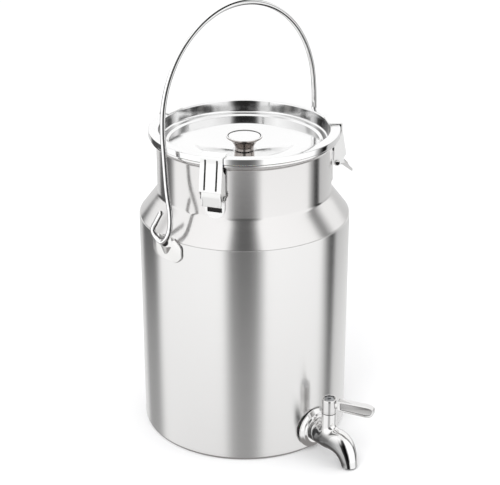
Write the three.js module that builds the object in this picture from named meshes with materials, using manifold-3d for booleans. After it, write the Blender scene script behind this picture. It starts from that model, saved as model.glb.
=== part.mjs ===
// Milk can with a clamped lid, a wire bail and a quarter-turn tap.
// Millimetres, +Z up, origin at the centre of the flat bottom, tap towards -Y, bail ears at +X and -X.
import * as THREE from "three";
import * as BufferGeometryUtils from "three/addons/utils/BufferGeometryUtils.js";
import Module from "manifold-3d";

const wasm = await Module();
wasm.setup();

// ---- driving dimensions ---------------------------------------------------------------------
const GAP = 0.3;                 // air between two pieces that touch in real life
const SHEET = 1.2;               // wall of the can and of the lid
const SEG = 40;                  // facets round the large turned shells

const BODY_R = 115;              // barrel outside radius
const PAN_Z = 8.2;               // top edge of the bottom pan
const SEAM_Z = 250;              // seam between barrel and shoulder
const NECK_R = 94.6;             // neck outside radius
const CREASE_Z = 272;            // weld between the shoulder cone and the neck
const NECK_TOP = 334.2;
const RIM_Z = [334.6, 338.8];    // rolled rim, bottom and top
const RIM_R = 101.3;
const LID_R = 103;               // lid flange
const LID_TOP = 345.6;
const LID_SKIRT = 339.5;
const DISH_Z = 319.6;            // lowest part of the dished lid floor

const KNOB_R = 19.4;
const KNOB_TOP = 335.6;
const SCREW_R = 2.4;             // screw that holds the knob
const SCREW_HOLE_R = 2.9;
const WASHER_T = 1.5;

const ROD_R = 2.75;              // bail wire
const BAIL_X = 113.5;            // half span of the bail legs
const BAIL_RISE = 111.5;         // height of the bail arch above its springing line
const BAIL_SPRING_Z = 366;       // springing line of the arch
const PIVOT_Z = 249;             // bail pivot in the ears
const EAR_TURN = 3.5;            // the ears' line away from the X axis, degrees
const BAIL_LEAN = 0.05;          // how far the bail leans back, per unit of height over LEAN_FROM_Z
const LEAN_FROM_Z = 300;
const HOOK_X = 122.5;            // plane of the hooked wire ends
const STUB_X = 116.1;            // inner end of the stub that turns in the ear
const EAR_R = 115.35;            // back of the ear plate
const EAR_T = 1.5;
const EAR_TOP = 254.6;
const BOSS_X = 119.2;            // face of the raised pocket in the ear

const LATCH_AT = [210, 328.5, 105];        // polar angles of the three latches, degrees
const LATCH_NAMES = ["front", "right", "rear"];
const PLATE_R = 94.9;            // back of a latch base plate
const PLATE_T = 1.5;
const PIN_A = [101.5, 309.5];    // lever pivot (radius, height)
const PIN_B = [100.33, 302.09];  // hook pivot on the lever, just past centre
const PIN_R = 1.8;
const BORE_R = PIN_R + 0.3;
const EAR_IN = 7.4;              // inner faces of base ears, lever cheeks and hook cheeks
const LEVER_IN = 9.2;
const HOOK_IN = 10.8;
const CHEEK_T = 1.2;

const TAP_Z = 25.5;              // height of the tap's inlet
const TAP_D = 138;               // distance of the tap barrel from the can axis
const TAP_HUB_R = 8.2;
const TAP_BORE_R = 8;            // threaded tail of the tap through the barrel wall
const PLUG_NECK_R = 3;           // shaft of the plug in the handle
const HANDLE_ANGLE = 26;         // handle away from the spout direction, degrees

// ---- finishes -------------------------------------------------------------------------------
const finish = (color, roughness, metalness) =>
  new THREE.MeshStandardMaterial({ color, roughness, metalness });
const SATIN = finish(0xc6c8ca, 0.38, 1.0);
const POLISHED = finish(0xd8dadc, 0.14, 1.0);
const WIRE = finish(0xcfd1d3, 0.18, 1.0);
const SILICONE = finish(0xe8e8e4, 0.6, 0.0);
const DARK_STEEL = finish(0x9a9c9f, 0.35, 1.0);

// ---- geometry helpers -----------------------------------------------------------------------
const rad = (d) => (d * Math.PI) / 180;

function weld(geometry) {
  const g = geometry.index ? geometry.clone() : geometry;
  g.deleteAttribute("normal");
  g.deleteAttribute("uv");
  return BufferGeometryUtils.mergeVertices(g, 1e-4);
}

function signedVolume(g) {
  const p = g.attributes.position, i = g.index.array;
  const a = new THREE.Vector3(), b = new THREE.Vector3(), c = new THREE.Vector3();
  let v = 0;
  for (let k = 0; k < i.length; k += 3) {
    a.fromBufferAttribute(p, i[k]);
    b.fromBufferAttribute(p, i[k + 1]);
    c.fromBufferAttribute(p, i[k + 2]);
    v += a.dot(b.cross(c)) / 6;
  }
  return v;
}

function outward(g) {
  if (signedVolume(g) >= 0) return g;
  const i = g.index.array;
  for (let k = 0; k < i.length; k += 3) [i[k], i[k + 1]] = [i[k + 1], i[k]];
  return g;
}

function toSolid(geometry) {
  const g = outward(weld(geometry));
  return new wasm.Manifold(new wasm.Mesh({
    numProp: 3,
    vertProperties: new Float32Array(g.attributes.position.array),
    triVerts: new Uint32Array(g.index.array),
  }));
}

function toGeometry(solid) {
  const m = solid.getMesh();
  const g = new THREE.BufferGeometry();
  g.setAttribute("position", new THREE.BufferAttribute(new Float32Array(m.vertProperties), 3));
  g.setIndex(new THREE.BufferAttribute(new Uint32Array(m.triVerts), 1));
  return g;
}

const points2 = (list) => list.map(([x, y]) => new THREE.Vector2(x, y));

// Closed ring or disc turned about Z from a closed (radius, height) outline.
function turned(outline, seg = SEG) {
  const pts = points2(outline);
  const onAxis = outline[0][0] === 0 && outline[outline.length - 1][0] === 0;
  if (!onAxis) pts.push(pts[0].clone());
  return new THREE.LatheGeometry(pts, seg).rotateX(Math.PI / 2);
}

// Second side of a sheet: the outline moved sideways by t (to the left of its direction).
function offsetLine(line, t) {
  return line.map((p, k) => {
    const a = line[Math.max(k - 1, 0)], b = line[Math.min(k + 1, line.length - 1)];
    const u = new THREE.Vector2(p[0] - a[0], p[1] - a[1]);
    const v = new THREE.Vector2(b[0] - p[0], b[1] - p[1]);
    if (u.length() < 1e-9) u.copy(v);
    if (v.length() < 1e-9) v.copy(u);
    u.normalize();
    v.normalize();
    const n = new THREE.Vector2(-(u.y + v.y), u.x + v.x).normalize();
    const m = t / Math.max(0.5, -n.x * u.y + n.y * u.x);
    return [Math.max(p[0] + n.x * m, 0), p[1] + n.y * m];
  });
}

// Sheet-metal shell of revolution; thickness goes to the left of the line direction.
function shell(line, t = SHEET, seg = SEG) {
  return turned([...line, ...offsetLine(line, t).reverse()], seg);
}

// Prism of a (radius, height) polygon run along Y.
function sidePrism(poly, y0, y1, holes = []) {
  return extruded(poly, y1 - y0, holes).rotateX(Math.PI / 2).translate(0, y1, 0);
}

// Prism of a (y, height) polygon run along X.
function facePrism(poly, x0, x1, holes = []) {
  const m = new THREE.Matrix4().makeBasis(
    new THREE.Vector3(0, 1, 0), new THREE.Vector3(0, 0, 1), new THREE.Vector3(1, 0, 0));
  return extruded(poly, x1 - x0, holes).applyMatrix4(m).translate(x0, 0, 0);
}

function extruded(poly, depth, holes) {
  const shape = new THREE.Shape(points2(poly));
  for (const h of holes) shape.holes.push(new THREE.Path(points2(h)));
  return new THREE.ExtrudeGeometry(shape, { depth, bevelEnabled: false });
}

// Arc as a list of points, angles in degrees.
function arc([cx, cy], r, a0, a1, n = 6) {
  return Array.from({ length: n + 1 }, (_, k) => {
    const a = rad(a0 + ((a1 - a0) * k) / n);
    return [cx + r * Math.cos(a), cy + r * Math.sin(a)];
  });
}

const circle = (c, r, n = 16) => arc(c, r, 0, 360 - 360 / n, n - 1);

// Solid joining closed rings of equal point count.
function loft(rings) {
  const n = rings[0].length, pos = rings.flat(2), idx = [];
  for (let k = 0; k + 1 < rings.length; k++) {
    for (let j = 0; j < n; j++) {
      const a = k * n + j, b = k * n + ((j + 1) % n);
      idx.push(a, b, b + n, a, b + n, a + n);
    }
  }
  const last = (rings.length - 1) * n;
  for (let j = 1; j + 1 < n; j++) idx.push(0, j + 1, j, last, last + j, last + j + 1);
  const g = new THREE.BufferGeometry();
  g.setAttribute("position", new THREE.Float32BufferAttribute(pos, 3));
  g.setIndex(idx);
  return g;
}

// Round bar of varying radius along a line in the Y-Z plane at x = 0.
function bar(line, n = 16) {
  return loft(line.map(([y, z, r], k) => {
    const a = line[Math.max(k - 1, 0)], b = line[Math.min(k + 1, line.length - 1)];
    const d = new THREE.Vector2(b[0] - a[0], b[1] - a[1]).normalize();
    return Array.from({ length: n }, (_, j) => {
      const w = (j / n) * 2 * Math.PI;
      return [r * Math.cos(w), y - d.y * r * Math.sin(w), z + d.x * r * Math.sin(w)];
    });
  }));
}

const middle = (a, b) => (a + b) / 2;
const cylinder = (r, h, n = 24) => new THREE.CylinderGeometry(r, r, h, n);

function alongX(r, x0, x1, y, z, n) {
  return cylinder(r, x1 - x0, n).rotateZ(Math.PI / 2).translate(middle(x0, x1), y, z);
}

function alongY(r, y0, y1, x, z, n) {
  return cylinder(r, y1 - y0, n).translate(x, middle(y0, y1), z);
}

function alongZ(r, z0, z1, x, y, n) {
  return cylinder(r, z1 - z0, n).rotateX(Math.PI / 2).translate(x, y, middle(z0, z1));
}

function block([x0, x1], [y0, y1], [z0, z1]) {
  const box = new THREE.BoxGeometry(x1 - x0, y1 - y0, z1 - z0);
  return box.translate(middle(x0, x1), middle(y0, y1), middle(z0, z1));
}

function build(first, plus = [], minus = []) {
  let s = toSolid(first);
  for (const g of plus) s = s.add(toSolid(g));
  for (const g of minus) s = s.subtract(toSolid(g));
  return toGeometry(s);
}

const root = new THREE.Group();
root.name = "milk_can";

function piece(name, geometry, material, turn = 0) {
  const g = outward(weld(geometry));
  g.rotateZ(turn);
  g.computeVertexNormals();
  const mesh = new THREE.Mesh(g, material);
  mesh.name = name;
  root.add(mesh);
  return mesh;
}

// ---- can ------------------------------------------------------------------------------------
function makeCan() {
  const pan = [[0, 0], [107, 0], [111.6, 0.9], [114.1, 3.4], [BODY_R, 7], [BODY_R, PAN_Z]];
  piece("bottom_pan", shell(pan), SATIN);

  const tapHole = alongY(TAP_BORE_R + 0.8, -BODY_R - 4, -BODY_R + 6, 0, TAP_Z);
  piece("barrel", build(shell([[BODY_R, PAN_Z + GAP], [BODY_R, SEAM_Z]]), [], [tapHole]), SATIN);

  const shoulder = [[BODY_R - 0.4, SEAM_Z + GAP], [BODY_R - 0.4, SEAM_Z + 1], [98, CREASE_Z]];
  piece("shoulder", shell(shoulder), SATIN);

  const neck = [[98, CREASE_Z + 0.5], [96, CREASE_Z + 2.4], [NECK_R, CREASE_Z + 5.2], [NECK_R, 330],
    [95.6, 332], [97.6, NECK_TOP - SHEET]];
  piece("neck", shell(neck), SATIN);

  const [z0, z1] = RIM_Z;
  const bead = [[94.4, z0], [99.6, z0], [100.9, z0 + 0.8], [RIM_R, middle(z0, z1)], [100.9, z1 - 0.8],
    [99.6, z1], [94.4, z1]];
  piece("rim_bead", turned(bead), POLISHED);
}

// ---- bail and its ears ----------------------------------------------------------------------
function earOutline() {
  const half = [[5, 230.4], [11, 228], [17, 230.6], [20.4, 236.5], [21, 243], [19.4, 248.6], [15.4, 252.4],
    [8.4, EAR_TOP]];
  return [[0, 228.8], ...half, ...half.map(([y, z]) => [-y, z]).reverse()];
}

// Five-sided plug that narrows outwards from the can; grow widens it all round.
function wedge(grow, x1, top) {
  const at = (x, s) => [[0, 233.6 - s], [6.2 + s, 241], [7.4 + s, top], [-7.4 - s, top], [-6.2 - s, 241]]
    .map(([y, z]) => [x, y, z]);
  return loft([at(112, grow + 2.4), at(x1, grow)]);
}

// Heart-shaped ear plate with a raised pocket, open at its top, and a round hole in the pocket face.
function makeEar(name, turn) {
  const outer = toSolid(alongZ(EAR_R + EAR_T, 220, 258, 0, 0, SEG * 2));
  const inner = toSolid(alongZ(EAR_R, 219, 259, 0, 0, SEG * 2));
  const plate = toSolid(facePrism(earOutline(), 105, 125)).intersect(outer);
  const boss = toSolid(wedge(0, BOSS_X, EAR_TOP));
  const pocket = toSolid(wedge(-1.3, BOSS_X - 1.4, EAR_TOP + 3));
  const bore = toSolid(alongX(ROD_R + 0.55, 112, 125, 0, PIVOT_Z));
  const ear = plate.add(boss).subtract(pocket).subtract(bore).subtract(inner);
  piece(name, toGeometry(ear), POLISHED, turn);
}

function bailPath() {
  const half = [[119.5, 2.5, 280], [121.5, 8, 269], [HOOK_X, 12.4, 259.5], [HOOK_X, 8.6, 253],
    [HOOK_X, 0, PIVOT_Z], [HOOK_X - 0.1, -6.6, 253.4], [121.5, -11, 262], [120, -12, 270.5],
    [117, -8.6, 282], [114.6, -3.6, 294], [BAIL_X, -0.8, 308], [BAIL_X, 0, 345]];
  const onArch = ([x, z]) => [x * BAIL_X, 0, BAIL_SPRING_Z + z * BAIL_RISE];
  const arch = arc([0, 0], 1, 180, 0, 14).map(onArch);
  const left = half.map(([x, y, z]) => [-x, y, z]);
  const right = half.map(([x, y, z]) => [x, -y, z]).reverse();
  const lean = ([x, y, z]) => new THREE.Vector3(x, y + Math.max(z - LEAN_FROM_Z, 0) * BAIL_LEAN, z);
  return [...left, ...arch, ...right].map(lean);
}

function makeBail() {
  const curve = new THREE.CatmullRomCurve3(bailPath(), false, "centripetal");
  const section = new THREE.Shape(points2(circle([0, 0], ROD_R, 8)));
  const rod = new THREE.ExtrudeGeometry(section, { steps: 84, extrudePath: curve });
  const stub = () => alongX(ROD_R, STUB_X + 0.3, HOOK_X, 0, PIVOT_Z, 16);
  const head = () => alongX(4.2, STUB_X, STUB_X + 1.1, 0, PIVOT_Z, 16);
  const left = [stub(), head()].map((g) => g.rotateZ(Math.PI));
  piece("bail", build(rod, [stub(), head(), ...left]), WIRE, rad(EAR_TURN));
}

// ---- lid ------------------------------------------------------------------------------------
function makeLid() {
  const floor = [[SCREW_HOLE_R, DISH_Z], [12, DISH_Z], [24, 321], [38, 324.3], [50, 328.2], [57, 330.2],
    [80, 330.2], [83.6, 331.6], [87.8, 332], [90.2, 334.2]];
  const flange = [[91.2, 343.4], [92.4, 345.2], [94, LID_TOP], [101.8, LID_TOP], [LID_R, LID_TOP - 1],
    [LID_R, LID_SKIRT]];
  piece("lid_pan", shell([...floor, ...flange], -SHEET), POLISHED);

  const seal = [[93.2, 339.2], [101, 339.2], [101.3, 340], [101.3, 343.4], [100.8, 344], [93.5, 344]];
  piece("lid_gasket", turned(seal), SILICONE);
}

function makeKnob() {
  const z = DISH_Z + GAP;
  const flare = [[0, z], [9.2, z], [9.2, z + 2.6], [10, z + 5.2], [12.4, z + 8.8], [16, z + 11.8],
    [18.6, z + 13.2], [KNOB_R, z + 14], [KNOB_R, KNOB_TOP - 0.6], [18.2, KNOB_TOP], [0, KNOB_TOP]];
  const bore = alongZ(SCREW_R + 0.4, z - 1, z + 9, 0, 0, 16);
  piece("lid_knob", build(turned(flare, 32), [], [bore]), POLISHED);

  const under = DISH_Z - SHEET - GAP;
  const washer = [[SCREW_HOLE_R, under], [8.5, under], [8.5, under - WASHER_T],
    [SCREW_HOLE_R, under - WASHER_T]];
  piece("knob_washer", turned(washer, 24), SILICONE);

  const head = under - WASHER_T - GAP;
  const screw = [[0, head - 3], [4.2, head - 3], [5, head - 2.2], [5, head], [SCREW_R, head],
    [SCREW_R, z + 8.2], [0, z + 8.2]];
  piece("knob_screw", turned(screw, 16), DARK_STEEL);
}

// ---- latches --------------------------------------------------------------------------------
function tangentHull(circles, n = 6) {
  const pts = circles.flatMap(([c, r]) => circle(c, r, n * 2));
  pts.sort((a, b) => a[0] - b[0] || a[1] - b[1]);
  const cross = (o, a, b) => (a[0] - o[0]) * (b[1] - o[1]) - (a[1] - o[1]) * (b[0] - o[0]);
  const run = (list) => {
    const h = [];
    for (const p of list) {
      while (h.length > 1 && cross(h[h.length - 2], h[h.length - 1], p) <= 1e-9) h.pop();
      h.push(p);
    }
    h.pop();
    return h;
  };
  return [...run(pts), ...run([...pts].reverse())];
}

// Pair of cheeks, one on each side of the middle plane.
function bothSides(poly, inner, t) {
  return [sidePrism(poly, inner, inner + t), sidePrism(poly, -inner - t, -inner)];
}

function makeLatchBase(name, turn) {
  const w = 10.8;
  const outline = [...arc([0, 288], w, 180, 360, 10), [w, 315], [9, 316.2], [-9, 316.2], [-w, 315]];
  const slot = [[-7.6, 285], [7.6, 285], [7.6, 289.2], [-7.6, 289.2]];
  const ear = [[PLATE_R + 0.2, 305.9], ...arc(PIN_A, 4.1, -90, 90, 8), [PLATE_R + 0.2, 315.6]];
  const bore = alongY(BORE_R, -12, 12, ...PIN_A, 16);
  const plate = facePrism(outline, PLATE_R, PLATE_R + PLATE_T, [slot]);
  piece(name, build(plate, bothSides(ear, EAR_IN, 1.4), [bore]), POLISHED, turn);
}

// Lever tails: pressed flat, or bent out as a finger tab.
const FLAT = {
  bend: [105.2, 303.4],
  end: [105.4, 295.2],
  bill: [[107.6, 311.6], [106.4, 311.4], [106.2, 304.5], [104.9, 293.4], [106.1, 293.1], [107.4, 304.3]],
};
const FLARED = {
  bend: [106.8, 301.4],
  end: [116.6, 293],
  bill: [[107.2, 311.6], [106, 311.4], [106, 304.5], [106.8, 299.8], [117.2, 290.8], [118.3, 291],
    [118.2, 292.2], [108.6, 300.8], [107.9, 304.4]],
};
const TAILS = [FLAT, FLARED, FLAT];

function makeLatchLever(name, turn, { bend, end, bill }) {
  const w = LEVER_IN + CHEEK_T;
  const cheek = tangentHull([[PIN_A, 4], [PIN_B, 3.3], [bend, 2.2], [[106.2, 310.4], 1.1]]);
  const tail = tangentHull([[bend, 2.2], [end, 1.5]]);
  const sides = [...bothSides(cheek, LEVER_IN, CHEEK_T), ...bothSides(tail, LEVER_IN, CHEEK_T)];
  const bores = [PIN_A, PIN_B].map((pin) => alongY(BORE_R, -14, 14, ...pin, 16));
  piece(name, build(sidePrism(bill, -w, w), sides, bores), POLISHED, turn);
}

function makeLatchHook(name, turn) {
  const w = HOOK_IN + CHEEK_T;
  const front = [[90, 346.1], [103.7, 346.1], [104.1, 345.4], [103.9, 340], [109.1, 310.2], [110.5, 310.5],
    [105.4, 340.2], [105.7, 345.4], [104.9, 347.1], [104, 347.6], [90.6, 347.6], [90, 347.2]];
  const cheek = [[104.6, 341], [109.8, 310.9], ...arc(PIN_B, 4.2, -20, -150, 8), [96.6, 306], [96.6, 326.4],
    [103.4, 332.4], [103.9, 336]];
  const slots = [-6.4, 6.4].map((y) => block([102.5, 112], [y - 0.9, y + 0.9], [312.6, 344.2]));
  const bore = alongY(BORE_R, -14, 14, ...PIN_B, 16);
  const cheeks = bothSides(cheek, HOOK_IN, CHEEK_T);
  piece(name, build(sidePrism(front, -w, w), cheeks, [...slots, bore]), POLISHED, turn);
}

function makeLatchPins(name, turn) {
  piece(`${name}_lever_pin`, alongY(PIN_R, -10.5, 10.5, ...PIN_A, 14), DARK_STEEL, turn);
  const heads = [-13.4, 12.3].map((y) => alongY(3, y, y + 1.1, ...PIN_B, 14));
  piece(`${name}_hook_pin`, build(alongY(PIN_R, -12.8, 12.8, ...PIN_B, 14), heads), POLISHED, turn);
}

function makeLatches() {
  LATCH_NAMES.forEach((n, k) => {
    const turn = rad(LATCH_AT[k]);
    makeLatchBase(`latch_${n}_base`, turn);
    makeLatchLever(`latch_${n}_lever`, turn, TAILS[k]);
    makeLatchHook(`latch_${n}_hook`, turn);
    makeLatchPins(`latch_${n}`, turn);
  });
}

// ---- tap ------------------------------------------------------------------------------------
// Tap pieces are drawn with the outward direction along +Y and turned to -Y at the end.
const TAP_TURN = Math.PI;
const tapRing = (outline, seg = 24) => turned(outline, seg).rotateX(-Math.PI / 2).translate(0, 0, TAP_Z);

function makeTapBody() {
  const line = [[122.4, 21.4, 10.6], [131, 21.2, 10.8], [138, 21.8, 11.4], [147, 24, 12.4],
    [155, 24.2, 12.8], [161.5, 21.2, 12], [166, 16, 10.8], [168.6, 10.4, 9.8], [170.2, 4.6, 8.9]];
  const duct = [[132, 21.6, 5], [143, 23.4, 6], [151, 24, 7], [158, 22.2, 7.4], [163.6, 17.6, 7.2],
    [167.4, 10.6, 7], [170.4, 1.6, 7]];
  const post = alongZ(TAP_HUB_R, 20, 54, 0, TAP_D, 24);
  const collar = alongY(13.4, 122.3, 125.4, 0, TAP_Z, 32);
  const tail = alongY(TAP_BORE_R, 99, 124, 0, TAP_Z, 24);
  const inlet = alongY(4.6, 97, 136, 0, TAP_Z, 20);
  const seat = alongZ(6, 17.4, 60, 0, TAP_D, 24);
  const casting = build(bar(line, 18), [post, collar, tail], [bar(duct, 12), inlet, seat]);
  piece("tap_body", casting, POLISHED, TAP_TURN);
}

function makeTapFittings() {
  const hole = TAP_BORE_R + 0.5;
  const flange = [[hole, 118], [15.6, 118], [20.6, 117.1], [21.7, 115.7], [23, 115.7], [23, 117],
    [21.6, 118.3], [18.6, 119.4], [17, 120.4], [15.4, 121.9], [hole, 121.9]];
  const seal = (r, d0, d1) => tapRing([[hole, d0], [r, d0], [r, d1], [hole, d1]]);
  piece("tap_escutcheon", tapRing(flange), POLISHED, TAP_TURN);
  piece("tap_outer_seal", seal(15, 115.4, 117.6), SILICONE, TAP_TURN);
  piece("tap_inner_seal", seal(14, 109.8, 112.4), SILICONE, TAP_TURN);

  const nut = extruded(circle([0, 0], 15, 6), 6.4, [circle([0, 0], TAP_BORE_R + 0.4, 20).reverse()]);
  piece("tap_nut", nut.rotateX(-Math.PI / 2).translate(0, 103, TAP_Z), DARK_STEEL, TAP_TURN);
}

// Rounded side outline of the lever, with grow added all round.
function paddle(grow, x0, x1) {
  const outline = [[11 - grow, 69.6 + grow], [13 - grow, 71.2 + grow], [42, 71.8 + grow],
    ...arc([44.6, 65.2], 6.2 + grow, 80, -80, 6), [42, 58.4 - grow], [13 - grow, 59.6 - grow],
    [11 - grow, 61.2 - grow]];
  return facePrism(outline, x0, x1);
}

// From the axis of the tap's plug to its place, turned to the angle at which the handle rests.
const onTap = (g) => g.rotateZ(rad(HANDLE_ANGLE)).translate(0, TAP_D, 0);

function makeTapHandle() {
  const neck = facePrism([[6, 61.6], [15, 61.8], [15, 67.4], [6, 67.6]], -2.6, 2.6);
  const hub = alongZ(TAP_HUB_R, 54.4, 71.4, 0, 0, 24);
  const counterbore = alongZ(6.6, 68.4, 75, 0, 0, 24);
  const shaftHole = alongZ(PLUG_NECK_R + 0.3, 50, 70, 0, 0, 16);
  const insets = [paddle(-1.6, 2.4, 5), paddle(-1.6, -5, -2.4)];
  const handle = build(hub, [neck, paddle(0, -3.2, 3.2)], [counterbore, shaftHole, ...insets]);
  piece("tap_handle", onTap(handle), POLISHED, TAP_TURN);

  const plug = turned([[0, 18], [5.7, 18], [5.7, 53.6], [PLUG_NECK_R, 53.6], [PLUG_NECK_R, 66.6],
    [0, 66.6]], 24);
  const crossHole = alongY(3.6, -8, 8, 0, TAP_Z - 0.5, 16);
  piece("tap_plug", onTap(build(plug, [], [crossHole])), DARK_STEEL, TAP_TURN);

  const screw = turned([[0, 66.9], [PLUG_NECK_R, 66.9], [PLUG_NECK_R, 68.8], [5.2, 68.8], [5.2, 70.2],
    [4.6, 70.7], [0, 70.7]], 20);
  const socket = alongZ(2, 69.3, 72, 0, 0, 6);
  piece("tap_screw", onTap(build(screw, [], [socket])), DARK_STEEL, TAP_TURN);
}

makeCan();
makeEar("ear_right", rad(EAR_TURN));
makeEar("ear_left", rad(EAR_TURN + 180));
makeBail();
makeLid();
makeKnob();
makeLatches();
makeTapBody();
makeTapFittings();
makeTapHandle();

export default root;
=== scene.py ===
"""Looks for the milk can: smooth turned shells, pressed latches, a wire bail and a cast tap around the CAD frame."""
import math

import bmesh
import bpy
import numpy as np
from mathutils import Matrix, Vector
from mathutils.geometry import tessellate_polygon


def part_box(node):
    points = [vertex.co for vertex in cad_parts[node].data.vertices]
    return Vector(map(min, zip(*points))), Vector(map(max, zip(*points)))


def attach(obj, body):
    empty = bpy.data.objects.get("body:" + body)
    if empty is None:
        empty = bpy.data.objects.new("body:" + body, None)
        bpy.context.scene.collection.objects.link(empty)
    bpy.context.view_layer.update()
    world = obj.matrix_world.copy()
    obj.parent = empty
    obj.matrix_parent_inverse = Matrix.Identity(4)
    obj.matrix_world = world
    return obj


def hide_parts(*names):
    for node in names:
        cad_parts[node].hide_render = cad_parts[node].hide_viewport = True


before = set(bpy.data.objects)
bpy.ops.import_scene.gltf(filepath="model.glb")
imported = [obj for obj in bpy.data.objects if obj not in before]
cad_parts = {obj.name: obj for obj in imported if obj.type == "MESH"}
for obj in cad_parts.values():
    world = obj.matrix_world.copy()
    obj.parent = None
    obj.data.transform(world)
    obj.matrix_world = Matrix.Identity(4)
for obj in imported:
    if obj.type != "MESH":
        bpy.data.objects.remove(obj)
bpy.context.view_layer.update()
MM = 0.001


# ---- sizes, in millimetres, taken from the frame where a node gives them --------------------
def corner(node, which, axis):
    """One side of a CAD node's box in millimetres."""
    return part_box(node)[which]["xyz".index(axis)] / MM


SHEET = 1.2
BODY_R = corner("barrel", 1, "x")
PAN_Z = corner("bottom_pan", 1, "z")
SEAM_Z = corner("barrel", 1, "z")
NECK_R = 94.6
CONE_TOP_R = 98                 # top of the shoulder cone, where the neck is welded on
CREASE_Z = 272
RIM_R = corner("rim_bead", 1, "x")
RIM_Z = (corner("rim_bead", 0, "z"), corner("rim_bead", 1, "z"))
LID_R = corner("lid_pan", 1, "x")
LID_TOP = corner("lid_pan", 1, "z")
LID_SKIRT = 339.5
DISH_Z = 319.6
KNOB_R = corner("lid_knob", 1, "x")
KNOB_Z = (corner("lid_knob", 0, "z"), corner("lid_knob", 1, "z"))

ROD_R = 2.75
BAIL_X = 113.5
BAIL_SPRING_Z = 366
BAIL_RISE = 111.5
PIVOT_Z = 249
EAR_TURN = 3.5                  # the ears' line away from the X axis, degrees
BAIL_LEAN = 0.05                # how far the bail leans back per unit of height over LEAN_FROM_Z
LEAN_FROM_Z = 300
HOOK_X = 122.5                  # plane of the hooked wire ends
STUB_X = 116.1                  # inner end of the stub that turns in the ear
EAR_R = 115.35                  # back of the ear plate
EAR_Z = (227.6, 254.6)
EAR_HALF_W = 22.2
EAR_T = 1.5
EAR_HOLE_R = 3.5
POCKET_Z = 233                  # lower point of the ear's raised pocket

LATCHES = {"front": 210, "right": 328.5, "rear": 105}    # polar angles, degrees
PLATE_R = 94.9                  # back of a latch base plate
PLATE_T = 1.5
PIN_A = (101.5, 309.5)          # lever pivot: radius, height
PIN_B = (100.33, 302.09)        # hook pivot on the lever
PIN_R = 1.8
PIN_HOLE_R = PIN_R + 0.3
EAR_IN, LEVER_IN, HOOK_IN, CHEEK_T = 7.4, 9.2, 10.8, 1.2
BEND_Z = 340.2                  # below this height the hook's front leans outwards
HOOK_LEAN = 0.1717              # by this much per unit of height
HOOK_FACE = 105.4               # front of the hook above the bend
HOOK_SLOT_Y = 6.3               # slots to each side of the middle
HOOK_SLOT_HALF_W = 0.95

TAP_Z = 25.5
TAP_D = 138                     # tap barrel from the can axis
TAP_HUB_R = 8.2
POST_FOOT = 20                  # lower end of the post that holds the plug
TAP_TAIL_R = 8
TAP_HOLE_R = 8.5                # through the tap's flange and seals
WALL_HOLE_R = 8.8
FILLET = 5.0                    # length over which the cast shapes flow together
SKIN = 0.7                      # fineness of the cast skin
HANDLE_ANGLE = 26               # handle away from the spout, degrees

ROUND = 192                     # facets round the large turned shells

CAMERA_AZIMUTH = -41.5
CAMERA_DISTANCE = 1.3907        # metres from the can axis, level
CAMERA_HEIGHT = 0.8213
CAMERA_PITCH = 23.73
CAMERA_LENS = 98.56
CAMERA_YAW = 0.25               # the can stands a little left of the middle


# ---- outline helpers ------------------------------------------------------------------------
def arc(centre, r, a0, a1, n):
    """Points of an arc, angles in degrees."""
    return [(centre[0] + r * math.cos(math.radians(a0 + (a1 - a0) * k / n)),
             centre[1] + r * math.sin(math.radians(a0 + (a1 - a0) * k / n))) for k in range(n + 1)]


def circle(centre, r, n=32):
    """Points of a full circle."""
    return arc(centre, r, 0, 360 - 360 / n, n - 1)


def rounded(points, n, closed=False):
    """Corners with a third value r are replaced by arcs of radius r, in n steps."""
    out = []
    count = len(points)
    for k, p in enumerate(points):
        here = Vector(p[:2])
        r = p[2] if len(p) > 2 else 0
        if not r or (not closed and k in (0, count - 1)):
            out.append(tuple(here))
            continue
        a, b = Vector(points[k - 1][:2]) - here, Vector(points[(k + 1) % count][:2]) - here
        half = a.angle(b) / 2
        cut = min(r / math.tan(half), 0.49 * a.length, 0.49 * b.length)
        r = cut * math.tan(half)
        centre = here + (a.normalized() + b.normalized()).normalized() * (r / math.sin(half))
        start, end = here + a.normalized() * cut - centre, here + b.normalized() * cut - centre
        swing_angle = start.angle_signed(end)
        for j in range(n + 1):
            w = -swing_angle * j / n
            c, s = math.cos(w), math.sin(w)
            out.append((centre.x + start.x * c - start.y * s, centre.y + start.x * s + start.y * c))
    return out


def beside(line, t):
    """The line moved by t to its left."""
    out = []
    for k, p in enumerate(line):
        a, b = line[max(k - 1, 0)], line[min(k + 1, len(line) - 1)]
        u, v = Vector(p) - Vector(a), Vector(b) - Vector(p)
        u = u.normalized() if u.length > 1e-9 else v.normalized()
        v = v.normalized() if v.length > 1e-9 else u
        n = Vector((-(u.y + v.y), u.x + v.x)).normalized()
        m = t / max(0.5, n.dot(Vector((-u.y, u.x))))
        out.append((max(p[0] + n.x * m, 0.0), p[1] + n.y * m))
    return out


def sheet_outline(line, t=SHEET):
    """Closed outline of a sheet of thickness t to the left of a line."""
    return list(line) + beside(line, t)[::-1]


def hull(circles):
    """Outline round a set of (centre, radius) circles."""
    pts = sorted(p for c, r in circles for p in circle(c, r))

    def run(points):
        h = []
        for p in points:
            while len(h) > 1 and ((h[-1][0] - h[-2][0]) * (p[1] - h[-2][1])
                                  - (h[-1][1] - h[-2][1]) * (p[0] - h[-2][0])) <= 1e-9:
                h.pop()
            h.append(p)
        return h[:-1]

    return run(pts) + run(pts[::-1])


# ---- mesh helpers ---------------------------------------------------------------------------
def add_object(name, verts, faces, sharp=35):
    """A shaded mesh from millimetre points."""
    mesh = bpy.data.meshes.new(name)
    mesh.from_pydata([Vector(v) * MM for v in verts], [], faces)
    obj = bpy.data.objects.new(name, mesh)
    bpy.context.scene.collection.objects.link(obj)
    clean(obj, sharp)
    return obj


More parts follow.
